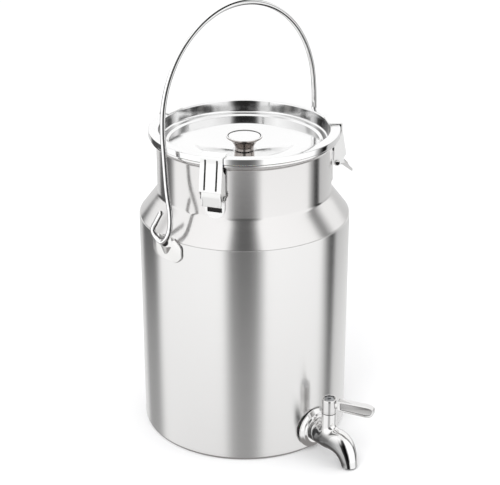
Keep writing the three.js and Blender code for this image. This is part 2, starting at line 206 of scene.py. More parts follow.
def clean(obj, sharp=35):
    """Merges doubled points, turns faces outwards and smooths all but the sharp edges."""
    bm = bmesh.new()
    bm.from_mesh(obj.data)
    bmesh.ops.remove_doubles(bm, verts=bm.verts, dist=1e-7)
    bmesh.ops.recalc_face_normals(bm, faces=bm.faces)
    if bm.calc_volume(signed=True) < 0:
        bmesh.ops.reverse_faces(bm, faces=bm.faces)
    bm.to_mesh(obj.data)
    bm.free()
    obj.data.shade_smooth()
    obj.data.set_sharp_from_angle(angle=math.radians(sharp))


def turned(name, outline, seg=ROUND, sharp=35):
    """Closed (radius, height) outline turned about Z."""
    verts, faces, rows = [], [], []
    for r, z in outline:
        if r < 1e-6:
            rows.append([len(verts)] * seg)
            verts.append((0, 0, z))
            continue
        rows.append(list(range(len(verts), len(verts) + seg)))
        verts += [(x, y, z) for x, y in circle((0, 0), r, seg)]
    pairs = list(zip(rows, rows[1:] + rows[:1]))
    if outline[0][0] < 1e-6 and outline[-1][0] < 1e-6:
        pairs = pairs[:-1]
    for a, b in pairs:
        for k in range(seg):
            j = (k + 1) % seg
            face = list(dict.fromkeys((a[k], a[j], b[j], b[k])))
            if len(face) > 2:
                faces.append(face)
    return add_object(name, verts, faces, sharp)


def prism(name, poly, lo, hi, place, holes=()):
    """Polygon run from lo to hi; place(u, v, w) puts a point of it in space."""
    loops = [list(poly)] + [list(h) for h in holes]
    flat = [p for loop in loops for p in loop]
    n = len(flat)
    caps = tessellate_polygon([[Vector((u, v, 0)) for u, v in loop] for loop in loops])
    verts = [place(u, v, lo) for u, v in flat] + [place(u, v, hi) for u, v in flat]
    faces = [tuple(t) for t in caps] + [tuple(i + n for i in reversed(t)) for t in caps]
    start = 0
    for loop in loops:
        m = len(loop)
        for k in range(m):
            a, b = start + k, start + (k + 1) % m
            faces.append((a, b, b + n, a + n))
        start += m
    return add_object(name, verts, faces)


def side_prism(name, poly, y0, y1, holes=()):
    """(radius, height) polygon run along Y."""
    return prism(name, poly, y0, y1, lambda u, v, w: (u, w, v), holes)


def face_prism(name, poly, x0, x1):
    """(y, height) polygon run along X."""
    return prism(name, poly, x0, x1, lambda u, v, w: (w, u, v))


def flat_prism(name, poly, z0, z1):
    """(x, y) polygon run along Z."""
    return prism(name, poly, z0, z1, lambda u, v, w: (u, v, w))


def swept(name, rings, sharp=60):
    """Tube through closed rings of points, capped at both ends."""
    n = len(rings[0])
    verts = [p for ring in rings for p in ring]
    faces = [tuple(range(n))[::-1], tuple(range((len(rings) - 1) * n, len(rings) * n))]
    for k in range(len(rings) - 1):
        for j in range(n):
            i = (j + 1) % n
            faces.append((k * n + j, k * n + i, (k + 1) * n + i, (k + 1) * n + j))
    return add_object(name, verts, faces, sharp)


def bake_modifiers(obj):
    """Applies the object's modifiers to its mesh."""
    graph = bpy.context.evaluated_depsgraph_get()
    mesh = bpy.data.meshes.new_from_object(obj.evaluated_get(graph))
    obj.modifiers.clear()
    old, obj.data = obj.data, mesh
    bpy.data.meshes.remove(old)


def combine(obj, others, operation="UNION"):
    """Boolean of obj with each of the others, which are used up."""
    for other in others:
        m = obj.modifiers.new("cut", "BOOLEAN")
        m.object, m.operation, m.solver = other, operation, "EXACT"
        bake_modifiers(obj)
        bpy.data.objects.remove(other)
    clean(obj)
    return obj


def soften(obj, width, segments=3, angle=30):
    """Rounds the sharp edges by width millimetres."""
    m = obj.modifiers.new("edges", "BEVEL")
    m.width, m.segments, m.limit_method = width * MM, segments, "ANGLE"
    m.angle_limit, m.harden_normals = math.radians(angle), True
    m.miter_outer = "MITER_ARC"
    bake_modifiers(obj)
    obj.data.shade_smooth()
    return obj


def turn(obj, degrees):
    """Turns a piece about the can axis."""
    obj.data.transform(Matrix.Rotation(math.radians(degrees), 4, "Z"))
    return obj


def ring_points(centre, u, v, r, n):
    """Circle of n points in the plane of u and v."""
    return [centre + u * x + v * y for x, y in circle((0, 0), r, n)]


def rod(name, r, start, end, n=32):
    """Round bar between two points."""
    a, b = Vector(start), Vector(end)
    d = (b - a).normalized()
    u = d.orthogonal().normalized()
    v = d.cross(u)
    return swept(name, [ring_points(a, u, v, r, n), ring_points(b, u, v, r, n)], 35)


def finish_piece(obj, material, body, slot, *nodes):
    """Gives a piece its finish, hangs it on its body and hides the CAD nodes that it stands for."""
    obj.data.materials.clear()
    obj.data.materials.append(material)
    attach(obj, body)
    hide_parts(*nodes)


def darken(obj, material, within):
    """Gives the faces that within(centre, normal) names, in millimetres, another finish."""
    obj.data.materials.append(material)
    last = len(obj.data.materials) - 1
    for face in obj.data.polygons:
        if within(face.center / MM, face.normal):
            face.material_index = last


# ---- materials ------------------------------------------------------------------------------
def add_node(tree, kind, feeds, values=(), **settings):
    """New node: settings first, then plain input values, then the outputs that feed it."""
    node = tree.nodes.new("ShaderNode" + kind)
    for name, value in settings.items():
        setattr(node, name, value)
    for name, value in dict(values).items():
        node.inputs[name].default_value = value
    for name, output in dict(feeds).items():
        tree.links.new(output, node.inputs[name])
    return node


def object_place(tree):
    """Where a point lies in the can's own frame, in metres."""
    return add_node(tree, "TexCoord", {}).outputs["Object"]


def noise(tree, where, scale, detail=2.0):
    """Smooth random value from 0 to 1 at a place."""
    return add_node(tree, "TexNoise", {"Vector": where}, {"Scale": scale, "Detail": detail}).outputs["Fac"]


def bump(tree, height, strength, distance, feeds=()):
    """Normal tilted by a height; distance in metres."""
    values = {"Strength": strength, "Distance": distance}
    return add_node(tree, "Bump", {"Height": height, **dict(feeds)}, values).outputs["Normal"]


def remap(tree, value, ends, to=(0.0, 1.0), interpolation="LINEAR"):
    """Value carried from one pair of ends to another, without going past them."""
    values = {"From Min": ends[0], "From Max": ends[1], "To Min": to[0], "To Max": to[1]}
    node = add_node(tree, "MapRange", {"Value": value}, values, interpolation_type=interpolation)
    return node.outputs["Result"]


def smooth_share(tree, value, ends):
    """Goes smoothly from 0 to 1 as the value goes from one end to the other."""
    return remap(tree, value, ends, interpolation="SMOOTHSTEP")


def along(tree, vector, direction):
    """How far a vector points along a direction."""
    node = add_node(tree, "VectorMath", {0: vector}, {1: direction}, operation="DOT_PRODUCT")
    return node.outputs["Value"]


def grey_ramp(tree, share, ends, stops):
    """Ramp with one colour at both ends and (position, grey) stops between them."""
    node = add_node(tree, "ValToRGB", {"Fac": share})
    points = node.color_ramp.elements
    points[0].color = points[1].color = ends
    for at, v in stops:
        points.new(at).color = (v, v, v, 1)
    return node.outputs["Color"]


def blend(tree, share, base, color):
    """Goes from the base to a plain colour as the share goes from 0 to 1."""
    node = add_node(tree, "Mix", {}, data_type="RGBA")
    tree.links.new(share, node.inputs["Factor"])
    tree.links.new(base, node.inputs["A"])
    node.inputs["B"].default_value = color
    return node.outputs["Result"]


def new_material(name):
    """New material, with its node tree and its surface node."""
    m = bpy.data.materials.new(name)
    m.use_nodes = True
    return m, m.node_tree, m.node_tree.nodes["Principled BSDF"]


def steel(name, color, roughness, grain, grain_depth, wave=0.0, spread=0.05, anisotropic=0.0):
    """Stainless steel with fine grain lines, a little unevenness in gloss and slow waves in the sheet."""
    m, t, bsdf = new_material(name)
    bsdf.inputs["Metallic"].default_value = 1.0
    bsdf.inputs["Base Color"].default_value = (*color, 1)
    bsdf.inputs["Anisotropic"].default_value = anisotropic
    where = object_place(t)
    stretch = add_node(t, "Mapping", {"Vector": where}, {"Scale": grain})
    lines = noise(t, stretch.outputs["Vector"], 1.0, 3.0)
    gloss = remap(t, lines, (0.0, 1.0), (roughness - spread, roughness + spread))
    fine = bump(t, lines, grain_depth, 0.00005)
    waves = bump(t, noise(t, where, 14.0, 1.0), wave, 0.001, {"Normal": fine})
    t.links.new(gloss, bsdf.inputs["Roughness"])
    t.links.new(waves, bsdf.inputs["Normal"])
    if anisotropic:
        bsdf.inputs["Anisotropic Rotation"].default_value = 0.25
        tangent = add_node(t, "Tangent", {}, direction_type="RADIAL", axis="Z")
        t.links.new(tangent.outputs["Tangent"], bsdf.inputs["Tangent"])
    return m


def paint_reflections_by_side(material, stops, below=None):
    """Paints reflections and shade into a finish: its grey goes by how far the surface turns to the camera's right.

    Stops pair that share, -1 to 1, with a grey. With below, two heights in metres, the tone fades back to plain
    from the first to the second."""
    t = material.node_tree
    bsdf = t.nodes["Principled BSDF"]
    plain = bsdf.inputs["Base Color"].default_value[:]
    a = math.radians(CAMERA_AZIMUTH)
    side = along(t, add_node(t, "NewGeometry", {}).outputs["Normal"], (math.cos(a), math.sin(a), 0))
    color = grey_ramp(t, remap(t, side, (-1.0, 1.0)), plain, [((share + 1) / 2, v) for share, v in stops])
    if below:
        axes = add_node(t, "SeparateXYZ", {"Vector": object_place(t)})
        color = blend(t, smooth_share(t, axes.outputs["Z"], below), color, plain)
    t.links.new(color, bsdf.inputs["Base Color"])


def silicone():
    """Milky silicone rubber with a fine matt grain."""
    m, t, bsdf = new_material("silicone")
    bsdf.inputs["Base Color"].default_value = (0.8, 0.8, 0.77, 1)
    bsdf.inputs["Subsurface Weight"].default_value = 0.3
    bsdf.inputs["Subsurface Scale"].default_value = 0.002
    grain = noise(t, object_place(t), 900.0)
    t.links.new(remap(t, grain, (0.0, 1.0), (0.4, 0.6)), bsdf.inputs["Roughness"])
    t.links.new(bump(t, grain, 0.15, 0.0001), bsdf.inputs["Normal"])
    return m


# Grain: how closely its lines lie along X, Y and Z.
BRUSHED = (9, 9, 2600)          # drawn out round the can
COARSE, MEDIUM, FINE, FINEST = (400,) * 3, (500,) * 3, (600,) * 3, (700,) * 3

SATIN = steel("satin_steel", (0.76, 0.755, 0.75), 0.23, BRUSHED, 0.25, wave=0.02, anisotropic=0.7)
NECK_SATIN = steel("neck_satin", (0.74, 0.73, 0.725), 0.17, BRUSHED, 0.25, wave=0.02, anisotropic=0.6)
POLISHED = steel("polished_steel", (0.8, 0.795, 0.79), 0.09, FINEST, 0.04, wave=0.03, spread=0.03)
EAR_STEEL = steel("pressed_steel", (0.84, 0.835, 0.825), 0.2, FINEST, 0.04, wave=0.02, spread=0.03)
LATCH_STEEL = steel("latch_steel", (0.93, 0.93, 0.925), 0.36, FINE, 0.06, spread=0.04)
TAIL_PAINTED_SHADE = steel("tail_painted_shade", (0.62, 0.615, 0.61), 0.3, FINE, 0.06, spread=0.04)
PLAIN = steel("plain_steel", (0.42, 0.43, 0.44), 0.3, FINE, 0.1, spread=0.06)
SHADE = steel("steel_in_shade", (0.035, 0.034, 0.034), 0.5, FINE, 0.05, spread=0.05)
WIRE_PAINTED_REFLECTIONS = steel("wire_steel", (0.78, 0.78, 0.78), 0.12, COARSE, 0.05, spread=0.04)
LID_STEEL = steel("lid_steel", (0.87, 0.87, 0.87), 0.1, MEDIUM, 0.03, wave=0.03, spread=0.03)
DISH_STEEL = steel("dish_steel", (0.87, 0.87, 0.87), 0.26, MEDIUM, 0.03, wave=0.03, spread=0.03)
RECESS_PAINTED_SHADE = steel("recess_wall_painted_shade", (0.4, 0.39, 0.38), 0.08, MEDIUM, 0.03, wave=0.03, spread=0.03)
KNOB_SHADE = steel("knob_side", (0.38, 0.345, 0.325), 0.12, MEDIUM, 0.03, spread=0.03)
CAST_STEEL_PAINTED_REFLECTIONS = steel("cast_steel_painted_reflections", (0.82, 0.815, 0.81), 0.07, MEDIUM, 0.03, wave=0.05, spread=0.02)
LEVER_STEEL = steel("lever_steel", (0.74, 0.735, 0.73), 0.09, MEDIUM, 0.03, wave=0.05, spread=0.02)
PANEL_SATIN_PAINTED_SHADE = steel("panel_satin_painted_shade", (0.46, 0.455, 0.45), 0.22, MEDIUM, 0.03, wave=0.1, spread=0.05)
SILICONE = silicone()

# Painted shade and painted reflections on the recess wall: dark bands where it would mirror the studio's dark
# strips.
paint_reflections_by_side(RECESS_PAINTED_SHADE, [(-0.98, 0.03), (-0.91, 0.06), (-0.83, 0.6), (-0.4, 0.85), (-0.2, 0.6), (-0.13, 0.14),
                            (0.1, 0.14), (0.17, 0.6), (0.4, 0.8), (0.8, 0.85), (0.91, 0.25), (0.97, 0.06)])
# Painted reflections on the bail wire: dark lines at its edges and beside its middle, where it would mirror the
# studio's dark strips.
paint_reflections_by_side(WIRE_PAINTED_REFLECTIONS, [(-0.98, 0.12), (-0.84, 0.95), (0.1, 0.95), (0.2, 0.015), (0.5, 0.015), (0.6, 0.8),
                    (0.88, 0.8), (0.98, 0.2)])
# Painted shade and painted reflections on the spout: a grey left side and a dark wedge where it would mirror the
# studio's dark strips; the painted tone fades out between 27 and 34 mm up, so the post above stays plain.
paint_reflections_by_side(CAST_STEEL_PAINTED_REFLECTIONS, [(-0.95, 0.1), (-0.75, 0.2), (-0.5, 0.42), (-0.34, 0.4), (-0.28, 0.03), (0.02, 0.02),
                          (0.07, 0.85), (0.8, 0.85), (0.97, 0.3)], (0.027, 0.034))


# ---- can ------------------------------------------------------------------------------------
def make_can():
    """Bottom pan, barrel with the hole for the tap, shoulder, neck and rolled rim."""
    pan = rounded([(0, 0), (BODY_R - 1.6, 0, 5), (BODY_R, 2.4, 4), (BODY_R, PAN_Z)], 8)
    finish_piece(turned("can_bottom", sheet_outline(pan)), SATIN, "can", "satin_steel", "bottom_pan")

    wall = rounded([(BODY_R, PAN_Z), (BODY_R, SEAM_Z, 1.1), (BODY_R - SHEET, SEAM_Z)], 6)
    barrel = turned("can_barrel", sheet_outline(wall))
    hole = rod("hole", WALL_HOLE_R, (0, -BODY_R - 4, TAP_Z), (0, -BODY_R + 6, TAP_Z), 48)
    finish_piece(combine(barrel, [hole], "DIFFERENCE"), SATIN, "can", "satin_steel", "barrel")

    foot_r = BODY_R - 0.9
    cone = rounded([(foot_r, SEAM_Z + 0.1), (foot_r, SEAM_Z + 0.8, 0.4), (CONE_TOP_R, CREASE_Z)], 4)
    finish_piece(turned("can_shoulder", sheet_outline(cone)), NECK_SATIN, "can", "satin_steel", "shoulder")

    neck = rounded([(CONE_TOP_R, CREASE_Z), (NECK_R, CREASE_Z + 4.6, 5.5), (NECK_R, 331.2, 4), (97.6, 333)], 10)
    finish_piece(turned("can_neck", sheet_outline(neck)), NECK_SATIN, "can", "satin_steel", "neck")

    lo, hi = RIM_Z
    bead = rounded([(94.4, lo), (RIM_R, lo, 1.9), (RIM_R, hi, 1.9), (94.4, hi)], 8, True)
    finish_piece(turned("can_rim", bead), POLISHED, "can", "polished_steel", "rim_bead")


def ear_half_width(z):
    """Half width of the ear plate: full in the middle, drawn in above and below."""
    v = (z - EAR_Z[0]) / (EAR_Z[1] - EAR_Z[0])
    top = 1 - 0.62 * max(0.0, (v - 0.62) / 0.38) ** 1.7
    return EAR_HALF_W * top * (1 - 0.3 * max(0.0, (0.3 - v) / 0.3) ** 2)


def ear_rise(u, z):
    """How far the plate is pressed out: two low lobes and a pocket that widens upwards from a point."""
    v = (z - EAR_Z[0]) / (EAR_Z[1] - EAR_Z[0])
    lobe = 0.75 * math.exp(-((abs(u) - 15) / 6.5) ** 2) * math.sin(math.pi * min(max(v, 0), 1)) ** 0.6
    above_point = max(0.0, z - POCKET_Z)
    width = 1.4 + 7.4 * min(1.0, above_point / 11) ** 0.9
    ridge = 1 - (abs(u) / width) ** 2.6 if abs(u) < width else 0.0
    return lobe + 2.35 * ridge * min(1.0, above_point / 10)


def plate_faces(grid):
    """Faces of a plate from rows of (front, back) vertex pairs."""
    faces = []
    for low, high in zip(grid, grid[1:]):
        for a, b, c, d in zip(low, low[1:], high[1:], high):
            faces += [(a[0], b[0], c[0], d[0]), (d[1], c[1], b[1], a[1])]
    rim = grid[0][:-1] + [row[-1] for row in grid[:-1]] + grid[-1][:0:-1] + [row[0] for row in grid[:0:-1]]
    return faces + [(b[0], a[0], a[1], b[1]) for a, b in zip(rim, rim[1:] + rim[:1])]


def make_ear(side):
    """Pressed ear plate: two pillowed lobes, a raised pocket open at the top and a round hole for the bail."""
    columns, rows = 96, 72

    def point(u, z, out):
        r = EAR_R + out
        a = u / EAR_R
        return (side * r * math.cos(a), side * r * math.sin(a), z)

    verts, grid = [], []
    for j in range(rows + 1):
        z = EAR_Z[0] + (EAR_Z[1] - EAR_Z[0]) * j / rows
        row = []
        for i in range(columns + 1):
            s = -1 + 2 * i / columns
            u = ear_half_width(z) * s
            edge = 1 - max(0.0, (abs(s) - 0.93) / 0.07) ** 2 * 0.5
            rise = ear_rise(u, z)
            row.append((len(verts), len(verts) + 1))
            verts += [point(u, z, EAR_T * edge + rise), point(u, z, max(0.0, rise - 0.1))]
        grid.append(row)
    name = "ear_right" if side > 0 else "ear_left"
    ear = add_object("pressed_" + name, verts, plate_faces(grid), 40)
    bore = rod("bore", EAR_HOLE_R, (side * 112, 0, PIVOT_Z), (side * 125, 0, PIVOT_Z), 40)
    combine(ear, [bore], "DIFFERENCE")
    finish_piece(soften(ear, 0.25, 2, 40), EAR_STEEL, "can", "polished_steel", name)

    def shaded(c, n):
        """Round the hole, wider below it where the wire's loop throws its shade, and the back of the pocket."""
        dark_r = EAR_HOLE_R + (2.7 if c.z < PIVOT_Z + 1 else 0.1)
        return math.hypot(c.y, c.z - PIVOT_Z) < dark_r or (n.x * side < -0.3 and abs(c.y) < 12)

    darken(ear, SHADE, shaded)
    turn(ear, EAR_TURN)


def catmull(points, per_span):
    """Centripetal Catmull-Rom curve through the points."""
    pts = [Vector(p) for p in points]
    first, last = pts[0] * 2 - pts[1], pts[-1] * 2 - pts[-2]
    pts = [first, *pts, last]
    out = []
    for k in range(1, len(pts) - 2):
        p0, p1, p2, p3 = pts[k - 1:k + 3]
        t0, t1 = 0.0, (p1 - p0).length ** 0.5
        t2 = t1 + (p2 - p1).length ** 0.5
        t3 = t2 + (p3 - p2).length ** 0.5
        for j in range(per_span):
            t = t1 + (t2 - t1) * j / per_span
            a1 = p0.lerp(p1, (t - t0) / (t1 - t0))
            a2 = p1.lerp(p2, (t - t1) / (t2 - t1))
            a3 = p2.lerp(p3, (t - t2) / (t3 - t2))
            b1 = a1.lerp(a2, (t - t0) / (t2 - t0))
            b2 = a2.lerp(a3, (t - t1) / (t3 - t1))
            out.append(b1.lerp(b2, (t - t1) / (t2 - t1)))
    return out + [pts[-2]]


def wire_rings(line, r):
    """Rings round a curve, carried along without twist; the ends are domed."""
    frames, u = [], None
    for k, p in enumerate(line):
        d = (line[min(k + 1, len(line) - 1)] - line[max(k - 1, 0)]).normalized()
        u = d.orthogonal().normalized() if u is None else (u - d * u.dot(d)).normalized()
        frames.append((p, d, u.copy(), d.cross(u)))

    def dome(frame, outwards):
        p, d, u, v = frame
        return [ring_points(p + d * (outwards * r * 0.6 * math.sin(a)), u, v, r * math.cos(a), 24)
                for a in (math.radians(80), math.radians(60), math.radians(40), math.radians(20))]

    body = [ring_points(p, u, v, r, 24) for p, d, u, v in frames]
    return dome(frames[0], -1) + body + dome(frames[-1], 1)[::-1]


def make_bail():
    """Bent wire: hooked ends at the ears, drifting legs, a round arch and a stub that turns in each ear."""
    half = [(119.5, 2.5, 280), (121.5, 8, 269), (HOOK_X, 12.4, 259.5), (HOOK_X, 8.6, 253), (HOOK_X, 0, PIVOT_Z),
            (HOOK_X - 0.1, -6.6, 253.4), (121.5, -11, 262), (120, -12, 270.5), (117, -8.6, 282),
            (114.6, -3.6, 294), (BAIL_X, -0.8, 308), (BAIL_X, 0, 345)]
    arch = [(x * BAIL_X, 0, BAIL_SPRING_Z + z * BAIL_RISE) for x, z in arc((0, 0), 1, 180, 0, 14)]
    left = [(-x, y, z) for x, y, z in half]
    right = [(x, -y, z) for x, y, z in reversed(half)]
    line = [(x, y + max(z - LEAN_FROM_Z, 0) * BAIL_LEAN, z) for x, y, z in left + arch + right]
    bail = swept("bail_wire", wire_rings(catmull(line, 12), ROD_R))
    stubs = []
    for s in (-1, 1):
        stubs.append(rod("stub", ROD_R - 0.05, (s * (STUB_X + 0.3), 0, PIVOT_Z), (s * HOOK_X, 0, PIVOT_Z)))
        stubs.append(rod("head", 4.2, (s * STUB_X, 0, PIVOT_Z), (s * (STUB_X + 1.1), 0, PIVOT_Z)))
    finish_piece(turn(combine(bail, stubs), EAR_TURN), WIRE_PAINTED_REFLECTIONS, "bail", "wire_steel", "bail")


# ---- lid ------------------------------------------------------------------------------------
def make_lid():
    """Lid with a dished middle and a skirt, its seal, and the flared knob with its seal and screw."""
    floor = [(2.9, DISH_Z), (11.5, DISH_Z, 14), (50.5, 328.8, 40), (55.5, 330.3, 3), (81.4, 330.3, 1.6),
             (84, 332, 1.6), (90.1, 332, 2.6)]
    flange = [(91.9, LID_TOP, 1.8), (LID_R, LID_TOP, 1.2), (LID_R, LID_SKIRT)]
    pan = turned("lid_sheet", sheet_outline(rounded(floor + flange, 8), -SHEET), ROUND, 50)
    finish_piece(pan, LID_STEEL, "lid", "polished_steel", "lid_pan")
    # The dish round the knob is duller, and the upright wall of the recess gets painted shade and painted
    # reflections: a darker steel with dark bands where it would mirror dark parts of the studio.
    darken(pan, DISH_STEEL, lambda c, n: c.xy.length < 30 and n.z > 0.5)
    darken(pan, RECESS_PAINTED_SHADE, lambda c, n: c.z > 333 and abs(n.z) < 0.5 and c.xy.length < 94)

    gasket = rounded([(93.2, 339.2, 0.6), (101.3, 339.2, 1), (101.3, 344, 1), (93.5, 344, 0.6)], 4, True)
    finish_piece(turned("lid_seal", gasket), SILICONE, "lid", "silicone", "lid_gasket")

    lo, hi = KNOB_Z
    knob = rounded([(0, lo), (10, lo, 0.3), (10.4, lo + 4, 8), (14.6, lo + 11, 8), (KNOB_R, lo + 14, 0.5),
                    (KNOB_R, hi, 0.7), (KNOB_R - 1.6, hi, 1), (KNOB_R - 2.4, hi - 0.7, 0.4), (0, hi - 0.5)], 8)
    top = turned("knob_flared", knob, 96)
    bore = rod("bore", 2.8, (0, 0, lo - 1), (0, 0, lo + 8.7))
    finish_piece(combine(top, [bore], "DIFFERENCE"), LID_STEEL, "lid", "polished_steel", "lid_knob")

    def knob_lines(c, n):
        """The foot of the knob and the step inside its rim."""
        return c.z < lo + 0.7 or (KNOB_R - 2.3 < c.xy.length < KNOB_R - 1.3 and c.z > lo + 12)

    darken(top, KNOB_SHADE, lambda c, n: n.z < 0.55)
    darken(top, SHADE, knob_lines)

    under = DISH_Z - SHEET - 0.3
    washer = rounded([(2.9, under), (8.5, under, 0.4), (8.5, under - 1.5, 0.4), (2.9, under - 1.5)], 4, True)
    finish_piece(turned("knob_seal", washer, 64), SILICONE, "lid", "silicone", "knob_washer")
    head, tip = under - 1.8, lo + 8.2
    screw = rounded([(0, head - 3), (4.6, head - 3, 0.8), (5, head, 0.3), (2.4, head), (2.4, tip, 0.5), (0, tip)], 4)
    finish_piece(turned("knob_fixing", screw, 48), PLAIN, "lid", "dark_steel", "knob_screw")


# ---- latches --------------------------------------------------------------------------------
def both_sides(poly, inner, t, holes=()):
    """The same plate of thickness t on both sides, inner away from the middle."""
    return [side_prism("cheek", poly, inner, inner + t, holes), side_prism("cheek", poly, -inner - t, -inner, holes)]


def make_latch_base(place, angle):
    """Welded plate with a round lower end, a shallow slot and two ears for the lever pin."""
    w, z0 = 10.8, 288
    outline = arc((0, z0), w, 180, 360, 32) + rounded([(w, z0), (w, 316.2, 2), (-w, 316.2, 2), (-w, z0)], 6)[1:-1]
    slot = rounded([(-8, 284.2, 0.5), (8, 284.2, 0.5), (8, 289.4, 0.5), (-8, 289.4, 0.5)], 3, True)
    ear = [(PLATE_R + 0.2, 305.9)] + arc(PIN_A, 4.1, -90, 90, 20) + [(PLATE_R + 0.2, 315.6)]
    hole = circle(PIN_A, PIN_HOLE_R)
    base = combine(face_prism("latch_plate_" + place, outline, PLATE_R, PLATE_R + PLATE_T),
                   both_sides(ear, EAR_IN, 1.4, [hole[::-1]]))
    soften(combine(base, [face_prism("slot", slot, PLATE_R + 0.3, PLATE_R + 2 * PLATE_T)], "DIFFERENCE"), 0.2)
    finish_piece(base, LATCH_STEEL, "can", "polished_steel", f"latch_{place}_base")
    # The slot's floor and walls.
    darken(base, SHADE, lambda c, n: c.x < PLATE_R + 0.9 and abs(c.y) < 8.2 and 284 < c.z < 289.6 and n.x > -0.5)
    turn(base, angle)


# Lever tails, as (radius, height): pressed flat, or bent out as a finger tab.
FLAT = {"bend": (105.2, 303.4), "end": (105.4, 295.2),
        "bill": [(107.6, 311.6, 0.4), (106.4, 311.4, 0.4), (106.2, 304.5, 3), (104.9, 293.4, 0.4),
                 (106.1, 293.1, 0.5), (107.4, 304.3, 3)]}
FLARED = {"bend": (106.8, 301.4), "end": (116.6, 293),
          "bill": [(107.2, 311.6, 0.4), (106, 311.4, 0.4), (106, 304.5, 2), (106.8, 299.8, 2), (117.2, 290.8, 0.5),
                   (118.3, 291, 0.4), (118.2, 292.2, 0.6), (108.6, 300.8, 3), (107.9, 304.4, 2)]}


def make_latch_lever(place, angle):
    """Bent lever between its two cheeks, with holes for both pins."""
    tail = FLARED if place == "right" else FLAT
    holes = [circle(pin, PIN_HOLE_R)[::-1] for pin in (PIN_A, PIN_B)]
    cheek = hull([(PIN_A, 4), (PIN_B, 3.3), (tail["bend"], 2.2), ((106.2, 310.4), 1.1)])
    flap = hull([(tail["bend"], 2.2), (tail["end"], 1.5)])
    w = LEVER_IN + CHEEK_T
    lever = combine(side_prism("latch_bill_" + place, rounded(tail["bill"], 6, True), -w, w),
                    both_sides(cheek, LEVER_IN, CHEEK_T, holes) + both_sides(flap, LEVER_IN, CHEEK_T))
    soften(lever, 0.3)
    finish_piece(lever, LATCH_STEEL, f"{place}_lever", "polished_steel", f"latch_{place}_lever")
    # The inner sides, which face the neck or each other.
    darken(lever, SHADE, lambda c, n: n.x < -0.4 or (abs(c.y) < LEVER_IN + 0.1 and abs(n.y) > 0.7))
    # Painted shade: the outer faces of the flared tail get a darker copy of the latch steel.
    if tail is FLARED:
        darken(lever, TAIL_PAINTED_SHADE, lambda c, n: c.z < 301 and n.x > -0.4)
    turn(lever, angle)


def hook_lean(z):
    """How far the hook's front plate has come outwards at a height."""
    return max(0.0, BEND_Z - z) * HOOK_LEAN


def make_hook_slot(middle):
    """Cutter for an upright slot, leaning with the front plate so that it cuts to an even depth."""
    y0, y1 = middle - HOOK_SLOT_HALF_W, middle + HOOK_SLOT_HALF_W
    outline = rounded([(y0, 312.6, 0.8), (y1, 312.6, 0.8), (y1, 344.2, 0.8), (y0, 344.2, 0.8)], 4, True)
    slot = face_prism("slot", outline, HOOK_FACE - 0.7, 112)
    for v in slot.data.vertices:
        v.co.x += hook_lean(v.co.z / MM) * MM
    return slot


def make_latch_hook(place, angle):
    """Hook that comes over the lid's flange: a bent front plate with two slots, between two cheeks."""
    w = HOOK_IN + CHEEK_T
    front = rounded([(90, 346.1), (103.9, 346.1, 1), (103.9, 340, 6), (109.1, 310.2), (110.5, 310.5, 0.4),
                     (HOOK_FACE, BEND_Z, 7), (105.8, 347.6, 2.2), (90, 347.6, 0.8)], 8, True)
    cheek = [(104.6, 341), (109.8, 310.9)] + arc(PIN_B, 4.2, -20, -150, 18)
    cheek += rounded([(96.6, 306), (96.6, 326.4, 4), (103.4, 332.4, 3), (103.9, 336)], 5)
    hole = circle(PIN_B, PIN_HOLE_R)[::-1]
    hook = combine(side_prism("latch_clasp_" + place, front, -w, w), both_sides(cheek, HOOK_IN, CHEEK_T, [hole]))
    slots = [make_hook_slot(s * HOOK_SLOT_Y) for s in (-1, 1)]
    soften(combine(hook, slots, "DIFFERENCE"), 0.25)
    finish_piece(hook, LATCH_STEEL, f"{place}_hook", "polished_steel", f"latch_{place}_hook")

    def shaded(c, n):
        """The floors of the slots and the inner sides."""
        depth = c.x - HOOK_FACE - hook_lean(c.z)
        in_slot = abs(abs(c.y) - HOOK_SLOT_Y) < 1.05 and 311.5 < c.z < 345 and -1.2 < depth < -0.25
        return in_slot or (abs(c.y) < HOOK_IN + 0.1 and (abs(n.y) > 0.7 or n.x < -0.6) and c.z < 344)

    darken(hook, SHADE, shaded)
    turn(hook, angle)


def crossbar(name, pin, r, y0, y1):
    """Round bar across a latch at a (radius, height) place."""
    return rod(name, r, (pin[0], y0, pin[1]), (pin[0], y1, pin[1]))


def make_latch_pins(place, angle):
    """The lever's pin in the base, and the hook's rivet with a dimple in each head."""
    pin = turn(soften(crossbar("latch_pivot_" + place, PIN_A, PIN_R, -10.5, 10.5), 0.3), angle)
    finish_piece(pin, PLAIN, "can", "dark_steel", f"latch_{place}_lever_pin")
    shaft = crossbar("latch_rivet_" + place, PIN_B, PIN_R, -12.8, 12.8)
    heads = [crossbar("head", PIN_B, 3, y, y + 1.1) for y in (-13.4, 12.3)]
    dimples = [crossbar("dimple", PIN_B, 1.5, y, y + 2) for y in (-15, 13)]
    rivet = combine(soften(combine(shaft, heads), 0.5), dimples, "DIFFERENCE")
    finish_piece(rivet, LATCH_STEEL, f"{place}_lever", "polished_steel", f"latch_{place}_hook_pin")
    # The dimples and the shank.
    darken(rivet, SHADE, lambda c, n: math.hypot(c.x - PIN_B[0], c.z - PIN_B[1]) < 1.6 or abs(n.y) < 0.5)
    turn(rivet, angle)


# ---- tap ------------------------------------------------------------------------------------
def tap_ring(name, outline, seg=96):
    """Outline of (radius, distance from the can axis) turned about the tap bore."""
    obj = turned(name, outline, seg)
    obj.data.transform(Matrix.Translation((0, 0, TAP_Z * MM)) @ Matrix.Rotation(math.radians(90), 4, "X"))
    clean(obj)
    return obj


